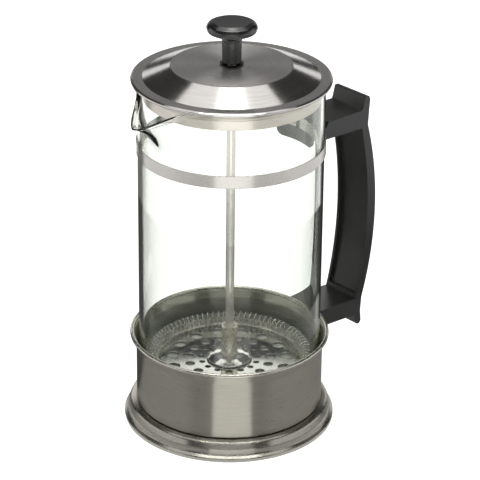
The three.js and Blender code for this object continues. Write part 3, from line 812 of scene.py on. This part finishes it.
def build_clamp():
    steel = brushed_steel("band_steel", (0.66, 0.635, 0.61), 0.26, 0.8, fineness=1400)
    bright = polished_steel("screw_steel", (0.66, 0.66, 0.65), 0.22)
    band = Extent("clamp_band")
    sheet = 0.45
    middle = band.half_width - sheet / 2
    lug = 1.2
    first = math.asin(lug / middle)
    count = 220
    plan = [Vector((band.x_high - 0.1, lug)), Vector((middle + 3, lug)), Vector((middle + 0.7, lug))]
    for k in range(count + 1):
        angle = first + 0.012 + (2 * math.pi - 2 * first - 0.024) * k / count
        plan.append(Vector((middle * math.cos(angle), middle * math.sin(angle))))
    plan += [Vector((p.x, -p.y)) for p in reversed(plan[:3])]
    half = sheet / 2
    section = softened([
        (-half, band.low, 0.12),
        (half, band.low, 0.12),
        (half, band.high, 0.12),
        (-half, band.high, 0.12),
    ], 2)
    verts = []
    faces = []
    size = len(section)
    for i, here in enumerate(plan):
        along = (plan[min(i + 1, len(plan) - 1)] - plan[max(i - 1, 0)]).normalized()
        outward = Vector((along.y, -along.x))
        for offset, height in section:
            spot = here + outward * offset
            verts.append((spot.x, spot.y, height))
        if i:
            base = (i - 1) * size
            for k in range(size):
                n = (k + 1) % size
                faces.append((base + k, base + n, base + n + size, base + k + size))
    faces.append(tuple(range(size)))
    faces.append(tuple(range(len(verts) - size, len(verts))))
    stand_for(make_piece("clamp_band_strip", verts, faces, steel), "clamp_band")

    screw = Extent("clamp_screw")
    x = (screw.x_low + screw.x_high) / 2
    z = (screw.low + screw.high) / 2
    head = cylinder_along_y("clamp_screw_bright", x, z, 2.7, 5, screw.half_width, bright)
    shank = cylinder_along_y("shank", x, z, 1.4, -6.3, 5.3, bright)
    slot = prism("slot", [(x - 4, z - 0.4), (x + 4, z - 0.4), (x + 4, z + 0.4), (x - 4, z + 0.4)],
                 screw.half_width - 0.6, screw.half_width + 1, bright, lying=True)
    combine(head, [shank], "UNION")
    combine(head, [slot], "DIFFERENCE")
    stand_for(eased(head, 0.18, 2), "clamp_screw")

    low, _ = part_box("clamp_nut")
    y_low = low.y / MM
    outline = arc(x, z, 3.05, 30, 330, 5)
    body = prism("clamp_nut_bright", outline, y_low + 0.05, y_low + 2.1, bright, lying=True)
    bore = cylinder_along_y("bore", x, z, 1.75, -9, 0, bright)
    combine(body, [bore], "DIFFERENCE")
    stand_for(eased(body, 0.2, 2), "clamp_nut")


# ---------------------------------------------------------------- handle


def arc_through(a, via, b, steps):
    """Points on the arc from a to b that passes through via."""
    d = 2 * (a[0] * (via[1] - b[1]) + via[0] * (b[1] - a[1]) + b[0] * (a[1] - via[1]))
    sa, sv, sb = (p[0] ** 2 + p[1] ** 2 for p in (a, via, b))
    x = (sa * (via[1] - b[1]) + sv * (b[1] - a[1]) + sb * (a[1] - via[1])) / d
    y = (sa * (b[0] - via[0]) + sv * (a[0] - b[0]) + sb * (via[0] - a[0])) / d
    radius = math.hypot(a[0] - x, a[1] - y)
    start = math.degrees(math.atan2(a[1] - y, a[0] - x))
    end = math.degrees(math.atan2(b[1] - y, b[0] - x))
    return arc(x, y, radius, start, end, steps)


def build_handle():
    plastic = moulded_plastic("handle_plastic", (0.029, 0.0305, 0.029), 0.33, shine=0.5)
    box = Extent("handle")
    half = 11.85
    belly = box.x_high
    arm_low, arm_high = 148, 158.4
    foot_low, foot_high = 35.6, 45.6
    rise = 1.8
    outline = softened([
        (48, foot_low + rise),
        (82.6, foot_low, 1.2),
        (84.9, box.low + 0.3, 1),
        (86.5, box.low, 1.4),
        (88, box.low + 1.6, 1.2),
        (87.3, 37, 3),
        *arc_through((88, foot_high), (belly, 99), (88.5, arm_low + 1), 40),
        (89.1, arm_high, 2),
        (89.6, 163.4, 1),
        (88.7, 165.8, 1.2),
        (86, 165.9, 0.8),
        (84, arm_high, 1),
        (48, arm_high),
        (48, arm_low + 1.1),
        *arc_through((84, arm_low), (90.3, 103), (83.4, foot_high), 36),
        (48, foot_high + rise),
    ])
    grip = prism("bow_handle", outline, -half, half, plastic, lying=True)

    face = arc_through((83, arm_low - 2), (89.3, 103), (82.4, foot_high + 2), 30)
    floor = arc_through((83.4, foot_high + 2.5), (90.3, 103), (84, arm_low - 2.5), 36)
    channel = [*face, *((x + 2.6, z) for x, z in floor)]
    wall = 1.6
    recess = prism("recess", channel, wall - half, half - wall, plastic, lying=True)

    plate_reach = 52.25
    plate_half = 15
    span = math.degrees(math.asin(plate_half / plate_reach))
    plan = [*arc(0, 0, plate_reach, -span, span, 24), (44, plate_half), (44, -plate_half)]
    saddle = prism("saddle", plan, 147.2, box.high, plastic)
    corners = softened([
        (-plate_half, 147.2, 4.5),
        (plate_half, 147.2, 4.5),
        (plate_half, box.high, 4.5),
        (-plate_half, box.high, 4.5),
    ])
    count = len(corners)
    verts = [(x, y, z) for x in (40, 60) for y, z in corners]
    faces = [tuple(range(count)), tuple(range(count, 2 * count))]
    faces += [(i, (i + 1) % count, (i + 1) % count + count, i + count) for i in range(count)]
    rounded = make_piece("rounded", verts, faces, plastic)
    combine(saddle, [rounded], "INTERSECT")
    boss_plan = [(46, -7), (57.5, -7), (57.5, 7), (46, 7)]
    boss = prism("boss", boss_plan, 147.2, box.high - 4, plastic)

    glass_room = prism("glass_room", arc(0, 0, 49.65, 0, 357.5, 143), 130, 180, plastic)
    cup_room = make_piece("cup_room", *revolved(softened([
        (0, 25), (50.3, 25), (50.3, 44.5, 5), (51.8, 49.2), (0, 49.2),
    ]), ROUND), plastic)
    screw = Extent("clamp_screw")
    x = (screw.x_low + screw.x_high) / 2
    z = (screw.low + screw.high) / 2
    band = Extent("clamp_band")
    lug_plan = [(44, -1.75), (60.3, -1.75), (60.3, 1.75), (44, 1.75)]
    lug_room = prism("lug_room", lug_plan, band.low - 0.3, band.high + 0.3, plastic)
    through = cylinder_along_y("through", x, z, 1.8, -13, 13, plastic)
    head_room = cylinder_along_y("head_room", x, z, 3.1, 4.7, 13, plastic)
    nut_room = prism("nut_room", arc(x, z, 3.5, 0, 300, 5), -13, -3.5, plastic, lying=True)
    bracket = Extent("handle_bracket")
    tongue_plan = [(44, -5.3), (64.3, -5.3), (64.3, 5.3), (44, 5.3)]
    tongue_room = prism("tongue_room", tongue_plan, 40.3, 42.4, plastic)
    pad_plan = [(44, -6.3), (53.4, -6.3), (53.4, 6.3), (44, 6.3)]
    pad_room = prism("pad_room", pad_plan, bracket.low - 0.3, bracket.high + 0.3, plastic)
    pin = Extent("bracket_screw")
    pin_x = (pin.x_low + pin.x_high) / 2
    pin_room = prism("pin_room", arc(pin_x, 0, 1.6, 0, 345, 23), 36, pin.high + 0.4, plastic)
    pin_head = prism("pin_head", arc(pin_x, 0, 3, 0, 352.5, 47), 30, 38.8, plastic)

    combine(grip, [recess], "DIFFERENCE")
    combine(grip, [saddle, boss], "UNION")
    combine(grip, [glass_room, cup_room, lug_room, through, head_room, nut_room], "DIFFERENCE")
    combine(grip, [tongue_room, pad_room, pin_room, pin_head], "DIFFERENCE")
    stand_for(eased(grip, 0.8, 4), "handle")


def build_bracket():
    steel = polished_steel("bracket_steel", (0.55, 0.55, 0.53), 0.35)
    bright = polished_steel("bracket_screw_steel", (0.66, 0.66, 0.65), 0.22)
    box = Extent("handle_bracket")
    tongue_low = 40.6
    plan = softened([(48, -5), (box.x_high, -5, 2), (box.x_high, 5, 2), (48, 5)])
    tongue = prism("welded_bracket", plan, tongue_low, tongue_low + 1.5, steel)
    pad_plan = [(48, -6), (51.6, -6), (51.6, 6), (48, 6)]
    pad = prism("pad", pad_plan, box.low, box.high, steel)
    cup_room = make_piece("cup_room", *revolved(softened([
        (0, 25), (50.3, 25), (50.3, 44.5, 5), (51.6, 49.2), (0, 49.2),
    ]), ROUND), steel)
    screw = Extent("bracket_screw")
    x = (screw.x_low + screw.x_high) / 2
    hole = prism("hole", arc(x, 0, 1.6, 0, 345, 23), 30, 50, steel)
    combine(tongue, [pad], "UNION")
    combine(tongue, [cup_room, hole], "DIFFERENCE")
    stand_for(eased(tongue, 0.25, 2), "handle_bracket")

    head = prism("bracket_screw_bright", arc(x, 0, 2.7, 0, 352.5, 47), screw.low, screw.low + 1.5, bright)
    shank = prism("shank", arc(x, 0, 1.25, 0, 345, 23), screw.low + 1, screw.high, bright)
    slot_plan = [(x - 4, -0.4), (x + 4, -0.4), (x + 4, 0.4), (x - 4, 0.4)]
    slot = prism("slot", slot_plan, screw.low - 1, screw.low + 0.5, bright)
    combine(head, [shank], "UNION")
    combine(head, [slot], "DIFFERENCE")
    stand_for(eased(head, 0.15, 2), "bracket_screw")


# ---------------------------------------------------------------- lid


def build_lid():
    steel = brushed_steel("lid_steel", (0.6, 0.585, 0.57), 0.18, 0.8, fineness=900, length=3, depth=0.000012,
                          core=0.03)
    skirt_steel = brushed_steel("skirt_steel", (0.7, 0.64, 0.605), 0.3, 0.5, fineness=1400)
    lid = Extent("lid_dome")
    crown = lid.high
    edge = lid.half_width
    flange = 196.3
    sheet = 0.8
    dome = [(9, crown - 0.05), (21, crown - 0.14, 8), (31.4, crown - 0.5, 2)]
    turned("domed_lid", [
        (4.75, crown, 0.3),
        *dome,
        (45.8, flange + 0.25, 1),
        (edge - 1.1, flange, 0.3),
        (edge - 0.5, flange - 0.15, 0.3),
        (edge, flange - 0.6, 0.35),
        (edge, lid.low + 0.4, 0.45),
        (edge - 0.9, lid.low, 0.35),
        (edge - 1.2, lid.low + 0.7, 0.3),
        (edge - 1.1, flange - sheet, 0.3),
        (45.6, flange + 0.25 - sheet, 1),
        *((r, z - sheet, *fillet) for r, z, *fillet in reversed(dome)),
        (4.75, crown - sheet, 0.3),
    ], steel, "lid_dome")

    skirt = Extent("lid_skirt")
    wall = skirt.half_width
    step = (skirt.low + skirt.high) / 2 + 0.4
    turned("lid_skirt_ring", [
        (wall - 0.6, skirt.low, 0.2),
        (wall, skirt.low, 0.25),
        (wall, step - 0.35, 0.2),
        (wall - 0.12, step, 0.3),
        (wall, step + 0.35, 0.2),
        (wall, skirt.high, 0.4),
        (wall - 2.5, skirt.high, 0.2),
        (wall - 2.5, skirt.high - 0.6, 0.2),
        (wall - 0.6, skirt.high - 0.6, 0.3),
    ], skirt_steel, "lid_skirt")


def build_bushing():
    black = moulded_plastic("bushing_black", (0.008, 0.008, 0.008), 0.14, grain=600, depth=0.00001)
    clip_steel = polished_steel("clip_steel", (0.6, 0.6, 0.59), 0.25)
    bushing = Extent("rod_bushing")
    flange = bushing.half_width
    seat = 203.3
    turned("rod_bushing_black", [
        (2.7, bushing.low, 0.2),
        (4.3, bushing.low, 0.3),
        (4.3, seat),
        (flange, seat, 0.1),
        (flange, bushing.high - 0.05, 0.25),
        (4.6, bushing.high, 0.2),
        (2.7, bushing.high - 0.3, 0.2),
    ], black, "rod_bushing", steps=SMALL_ROUND)

    clip = Extent("bushing_clip")
    turned("bushing_clip_ring", [
        (4.6, clip.low, 0.1),
        (clip.half_width, clip.low + 0.1, 0.15),
        (clip.half_width, clip.high, 0.15),
        (5.2, clip.high - 0.1, 0.2),
        (4.6, clip.high, 0.1),
    ], clip_steel, "bushing_clip", steps=SMALL_ROUND)


# ---------------------------------------------------------------- plunger


def build_knob():
    plastic = moulded_plastic("knob_plastic", (0.014, 0.015, 0.0165), 0.24, grain=2200, depth=0.00002, shine=1)
    brass = polished_steel("insert_brass", (0.6, 0.44, 0.2), 0.25)
    knob = Extent("knob")
    rim = knob.half_width
    top = knob.high
    turned("mushroom_knob", [
        (0, top - 0.25),
        (9.4, top, 1),
        (12.2, top - 1, 3.2),
        (rim, top - 3.1, 1.4),
        (12.5, top - 5.4, 1.6),
        (7.2, top - 7, 3),
        (5.15, top - 9.4, 2.4),
        (4.95, knob.low + 0.1, 0.4),
        (3.9, knob.low, 0.3),
        (3.9, 219.1),
        (0, 219.1),
    ], plastic, "knob", steps=SMALL_ROUND)

    insert = Extent("knob_insert")
    turned("threaded_insert", [
        (2.7, insert.low, 0.15),
        (insert.half_width, insert.low, 0.2),
        (insert.half_width, insert.high, 0.2),
        (2.7, insert.high, 0.15),
    ], brass, "knob_insert", steps=SMALL_ROUND)


def build_rod():
    rod_steel = polished_steel("rod_steel", (0.95, 0.9, 0.885), 0.15, 0.00005, metal=0.7)
    sleeve_steel = polished_steel("sleeve_steel", (0.85, 0.8, 0.7), 0.2, 0.00005, metal=0.8)
    washer_steel = polished_steel("washer_steel", (0.72, 0.72, 0.71), 0.07, 0.00005)
    rod = Extent("plunger_rod")
    turned("polished_rod", [
        (0, rod.low),
        (rod.half_width, rod.low, 0.6),
        (rod.half_width, rod.high, 0.6),
        (0, rod.high),
    ], rod_steel, "plunger_rod", steps=SMALL_ROUND)

    sleeve = Extent("rod_sleeve")
    wall = sleeve.half_width
    joint = sleeve.low + 3.2
    turned("rod_sleeve_tube", [
        (2.7, sleeve.low),
        (wall, sleeve.low, 0.2),
        (wall, joint - 0.2, 0.1),
        (wall - 0.25, joint, 0.1),
        (wall, joint + 0.2, 0.1),
        (wall, sleeve.high - 0.5, 0.35),
        (wall - 0.35, sleeve.high, 0.25),
        (3.4, sleeve.high, 0.25),
        (2.7, sleeve.high - 0.9, 0.2),
    ], sleeve_steel, "rod_sleeve", steps=SMALL_ROUND)

    washer = Extent("hub_washer")
    rim = washer.half_width
    turned("domed_washer", [
        (4.7, washer.low),
        (rim, washer.low, 0.2),
        (rim, washer.low + 0.75, 0.5),
        (rim - 1.6, washer.low + 1.75, 0.7),
        (8, washer.low + 2.5, 4),
        (4.7, washer.high, 0.2),
    ], washer_steel, "hub_washer", steps=SMALL_ROUND)


COIL_TURNS = 84
COIL_RADIUS = 2.95
WIRE_RADIUS = 0.31
LIP_LOW_RADIUS = 39.85
LIP_HIGH_RADIUS = 40.4
LIP_TOP = 37.45
SLOT_LOW = 34.05
SLOT_HIGH = 36.45
SLOT_WIDTH = 1.45
HOLES_EACH_RING = 15
HOLE_RINGS = ((31, 3.4), (22, 2.55), (15.2, 1.6))


def coil_centre():
    """Radius and height of the middle of the coil's turns."""
    coil = Extent("coil_spring")
    return coil.half_width - 3.35, (coil.low + coil.high) / 2


def slot_shift():
    """How far round from a turn's start it passes through the lip on its underside."""
    ring, _ = coil_centre()
    return -math.acos((LIP_LOW_RADIUS + 0.2 - ring) / COIL_RADIUS) / COIL_TURNS


def build_lip(steel):
    """The plate's upturned lip, with a closed round-ended slot for each turn of the coil."""
    pitch = 2 * math.pi / COIL_TURNS
    quarters = (-0.5, -0.25, 0, 0.25, 0.5)
    fold = [(38.7, 33.2), (39.2, 33.22), (39.55, 33.38), (39.75, 33.65), (LIP_LOW_RADIUS, 33.8)]
    verts = []
    faces = []
    low = 33.8
    high = 36.75
    half_slot = SLOT_WIDTH / 2
    middle = (SLOT_LOW + SLOT_HIGH) / 2
    straight = (SLOT_HIGH - SLOT_LOW) / 2 - half_slot

    def wall_point(angle, height):
        share = (height - low) / (LIP_TOP - low)
        radius = LIP_LOW_RADIUS + (LIP_HIGH_RADIUS - LIP_LOW_RADIUS) * share
        return (radius * math.cos(angle), radius * math.sin(angle), height)

    def add_strip(rows):
        base = len(verts)
        width = len(rows[0])
        for row in rows:
            verts.extend(row)
        for j in range(len(rows) - 1):
            for k in range(width - 1):
                a = base + j * width + k
                faces.append((a, a + 1, a + 1 + width, a + width))

    for i in range(COIL_TURNS):
        centre = i * pitch + slot_shift()
        angles = [centre + q * pitch for q in quarters]
        add_strip([[(r * math.cos(a), r * math.sin(a), z) for a in angles] for r, z in fold])
        add_strip([[wall_point(a, z) for a in angles] for z in (high, 37.1, LIP_TOP)])
        sides = [low + (high - low) * s for s in (0.25, 0.5, 0.75)]
        rim = [(a, low) for a in angles]
        rim += [(angles[-1], z) for z in sides]
        rim += [(a, high) for a in reversed(angles)]
        rim += [(angles[0], z) for z in reversed(sides)]
        base = len(verts)
        count = len(rim)
        for angle, height in rim:
            verts.append(wall_point(angle, height))
        for angle, height in rim:
            across = (angle - centre) * LIP_LOW_RADIUS
            turn = math.atan2(height - middle, across)
            lift = 0 if abs(math.sin(turn)) < 1e-6 else math.copysign(straight, math.sin(turn))
            spot = centre + half_slot * math.cos(turn) / LIP_LOW_RADIUS
            verts.append(wall_point(spot, middle + lift + half_slot * math.sin(turn)))
        for k in range(count):
            n = (k + 1) % count
            faces.append((base + k, base + n, base + n + count, base + k + count))
    lip = make_piece("slotted_lip", verts, faces, steel)
    thick = lip.modifiers.new("thickness", "SOLIDIFY")
    thick.thickness = 0.45 * MM
    thick.offset = 0
    settle(lip)
    return eased(lip, 0.08, 1, 50)


def build_filter():
    lip_steel = polished_steel("lip_steel", (0.86, 0.83, 0.78), 0.2, 0.00005)
    plate_steel = polished_steel("plate_steel", (0.7, 0.7, 0.685), 0.08, 0.00006, 0.06)
    spring_steel = polished_steel("spring_steel", (0.86, 0.85, 0.82), 0.16, 0.00002)
    screen_steel = woven_steel("screen_steel", (0.8, 0.8, 0.78))
    cross_steel = polished_steel("cross_steel", (0.66, 0.66, 0.65), 0.15)
    nut_steel = polished_steel("nut_steel", (0.62, 0.62, 0.61), 0.2)

    holes = [(0, 0, 2.7)]
    for ring, radius in HOLE_RINGS:
        for i in range(HOLES_EACH_RING):
            angle = 2 * math.pi * (i + 0.5) / HOLES_EACH_RING
            holes.append((ring * math.cos(angle), ring * math.sin(angle), radius))
    plate = Extent("spiral_plate")
    sheet_high = plate.low + 0.9
    disc = perforated("spiral_plate_disc", 38.75, holes, sheet_high - 0.55, sheet_high, 0.12, plate_steel)
    stand_for(disc, "spiral_plate")
    stand_for(build_lip(lip_steel), "spiral_plate")

    ring, height = coil_centre()
    steps = 20
    points = []
    for k in range(int((COIL_TURNS - 1) * steps) + 1):
        turn = 2 * math.pi * k / steps
        around = turn / COIL_TURNS
        reach = ring + COIL_RADIUS * math.cos(turn)
        lift = height + COIL_RADIUS * math.sin(turn)
        points.append((reach * math.cos(around), reach * math.sin(around), lift))
    verts, faces = swept(points, WIRE_RADIUS, 8)
    stand_for(make_piece("coil_spring_wire", verts, faces, spring_steel), "coil_spring")

    screen = Extent("mesh_screen")
    rim = screen.half_width
    cloth = 0.3
    turned("woven_screen", [
        (2.7, screen.low),
        (43.4, screen.low, 2),
        (rim, screen.low + 2.2, 1.5),
        (rim, screen.high, 0.1),
        (rim - cloth, screen.high, 0.1),
        (rim - cloth, screen.low + 2.35, 1.3),
        (43.3, screen.low + cloth, 1.8),
        (2.7, screen.low + cloth),
    ], screen_steel, "mesh_screen")

    cross = Extent("cross_plate")
    windows = [(0, 0, 2.7)]
    for i in range(4):
        angle = math.pi / 2 * (i + 0.5)
        windows.append((23.5 * math.cos(angle), 23.5 * math.sin(angle), 10))
    spider = perforated("cross_plate_disc", cross.half_width, windows, cross.low, cross.high, 0.25, cross_steel)
    stand_for(spider, "cross_plate")

    nut = Extent("hub_nut")
    across = nut.half_width
    blank = prism("hex_hub_nut", arc(0, 0, across, 30, 330, 5), nut.low, nut.high, nut_steel)
    chamfer = make_piece("chamfer", *revolved([
        (0, nut.low), (across * 0.88, nut.low), (across * 1.02, nut.low + 0.9),
        (across * 1.02, nut.high - 0.9), (across * 0.88, nut.high), (0, nut.high),
    ], SMALL_ROUND), nut_steel)
    bore = prism("bore", arc(0, 0, 2.7, 0, 352.5, 47), nut.low - 1, nut.high + 1, nut_steel)
    combine(blank, [chamfer], "INTERSECT")
    combine(blank, [bore], "DIFFERENCE")
    stand_for(eased(blank, 0.15, 2), "hub_nut")


# ---------------------------------------------------------------- assembly

make_camera()
make_studio()
build_base()
build_beaker()
build_clamp()
build_handle()
build_bracket()
build_lid()
build_bushing()
build_knob()
build_rod()
build_filter()
